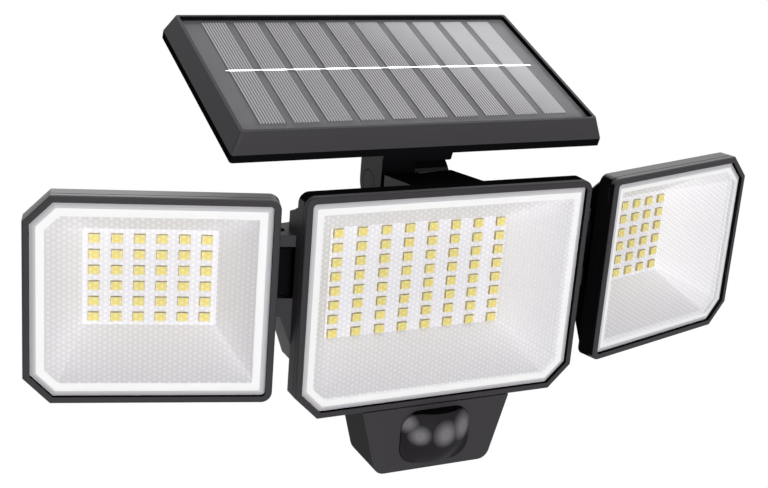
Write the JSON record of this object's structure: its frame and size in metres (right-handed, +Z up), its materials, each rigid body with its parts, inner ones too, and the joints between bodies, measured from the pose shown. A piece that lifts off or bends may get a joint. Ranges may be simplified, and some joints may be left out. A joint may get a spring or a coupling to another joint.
{
  "type": "solar motion sensor light",
  "caption": "Wall light with a fixed centre lamp between swinging side lamps, a tilting solar panel on top and a motion sensor below.",
  "frame": {"origin": "middle of the wall plate's back face, where the light meets the wall", "axes": "+Z up, -Y out of the wall towards the viewer, +X to the viewer's right"},
  "size_m": [0.311, 0.1354, 0.1605],
  "materials": {
    "black_plastic": "fine matt",
    "clear_plastic": "clear, finely textured",
    "white_plastic": "satin white",
    "led_board_metal": "white coated",
    "led_yellow": "phosphor over white",
    "seal_rubber": "white silicone",
    "smoked_plastic": "polished smoked",
    "can_steel": "plain",
    "circuit_board": "solder resist",
    "screw_steel": "blackened",
    "nylon": "plain",
    "battery": "shrink sleeve",
    "button_rubber": "matt",
    "panel_cover": "clear laminate",
    "silicon": "grey with fine lines",
    "backing_plastic": "plain"
  },
  "bodies": {
    "housing": {"main_housing": "black_plastic", "rear_cover": "black_plastic", "wall_plate": "black_plastic", "cover_screws": "screw_steel", "arm_screws": "screw_steel", "center_frame": "black_plastic", "center_lens": "clear_plastic", "center_seal": "seal_rubber", "center_reflector": "white_plastic", "center_led_board": "led_board_metal", "center_leds": "led_yellow", "sensor_lens": "smoked_plastic", "sensor_element": "can_steel", "sensor_board": "circuit_board", "control_board": "circuit_board", "battery_cell": "battery", "hinge_pins": "screw_steel", "hinge_washers": "nylon", "neck_bolt": "screw_steel", "neck_nut": "screw_steel", "neck_washer": "nylon"},
    "left_lamp": {"left_case": "black_plastic", "left_frame": "black_plastic", "left_lens": "clear_plastic", "left_seal": "seal_rubber", "left_reflector": "white_plastic", "left_led_board": "led_board_metal", "left_leds": "led_yellow"},
    "right_lamp": {"right_case": "black_plastic", "right_frame": "black_plastic", "right_lens": "clear_plastic", "right_seal": "seal_rubber", "right_reflector": "white_plastic", "right_led_board": "led_board_metal", "right_leds": "led_yellow"},
    "solar_panel": {"panel_arm": "black_plastic", "panel_frame": "black_plastic", "panel_lid": "black_plastic", "panel_glass": "panel_cover", "solar_cells": "silicon", "panel_backing": "backing_plastic", "bracket_screws": "screw_steel"},
    "power_button": {"power_button": "button_rubber"}
  },
  "joints": [
    {"name": "left_lamp_swing", "type": "hinge", "parent": "housing", "child": "left_lamp", "pos_m": [-0.0645, -0.112, 0.0495], "axis": [0, 0, -1], "range_deg": [-15.5, 74.5]},
    {"name": "right_lamp_swing", "type": "hinge", "parent": "housing", "child": "right_lamp", "pos_m": [0.0645, -0.112, 0.0495], "axis": [0, 0, 1], "range_deg": [-15.5, 74.5]},
    {"name": "panel_tilt", "type": "hinge", "parent": "housing", "child": "solar_panel", "pos_m": [0, -0.0825, 0.07], "axis": [1, 0, 0], "range_deg": [-18.8, 16]},
    {"name": "power_press", "type": "slide", "parent": "housing", "child": "power_button", "axis": [0, 0, 1], "range_m": [0, 0.0015], "stiffness_N_per_m": 600}
  ]
}
